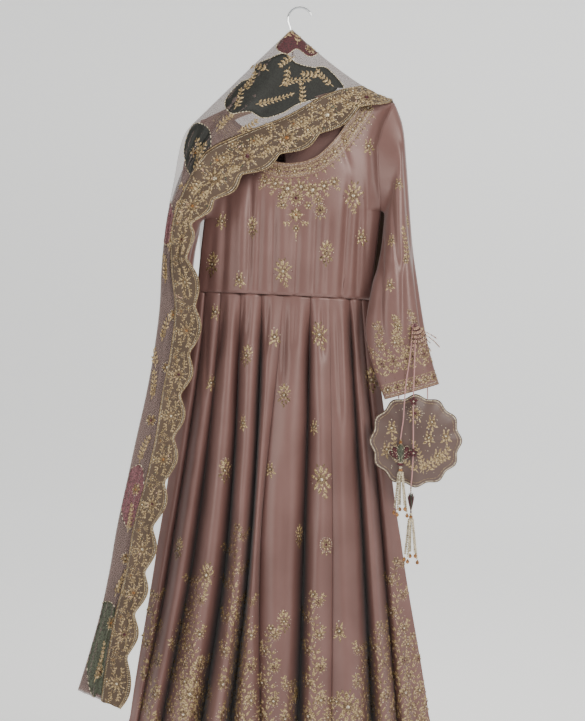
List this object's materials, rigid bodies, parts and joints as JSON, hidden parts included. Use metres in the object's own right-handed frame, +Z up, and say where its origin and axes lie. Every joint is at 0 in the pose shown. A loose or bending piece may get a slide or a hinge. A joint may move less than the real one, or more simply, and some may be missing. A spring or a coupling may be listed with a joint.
{
  "type": "salwar kameez suit on a hanger",
  "caption": "Floor-length flared kameez with wide scoop neck and long sleeves, net dupatta over one shoulder, folded salwar and a wrist pouch, all held by a wooden hanger.",
  "frame": {"origin": "seat of the hanger hook, the inner top of its bend", "axes": "+Z up, +X to the right of the suit seen from its front, the front faces -Y"},
  "size_m": [0.7278, 0.2403, 1.5671],
  "materials": {
    "satin_silk": "mauve satin with a soft sheen, gold thread motifs",
    "net": "sheer mauve net",
    "gold_embroidery": "dull gold thread and bead work",
    "twisted_cord": "twisted pink silk",
    "maroon_velvet": "maroon silk with beads",
    "pearl_beads": "pearl beads with amber ends",
    "hanger_wood": "light varnished wood",
    "hook_steel": "polished steel wire"
  },
  "bodies": {
    "root": {"bodice_front": "satin_silk", "bodice_back": "satin_silk", "skirt_front": "satin_silk", "skirt_back": "satin_silk", "sleeve_right": "satin_silk", "sleeve_left": "satin_silk", "pouch": "satin_silk", "salwar_folded": "satin_silk", "dupatta_front": "net", "dupatta_back": "net", "dupatta_front_border": "gold_embroidery", "dupatta_back_border": "gold_embroidery", "pouch_loop": "twisted_cord", "cord_left": "twisted_cord", "cord_right": "twisted_cord", "cord_knot": "twisted_cord", "knot_fringe": "twisted_cord", "bead_flower_1": "maroon_velvet", "bead_flower_2": "maroon_velvet", "charm_left": "maroon_velvet", "charm_right": "maroon_velvet", "tassel_left": "pearl_beads", "tassel_right": "pearl_beads", "hanger_arms": "hanger_wood", "hanger_bar": "hanger_wood", "hanger_hook": "hook_steel"}
  },
  "joints": []
}
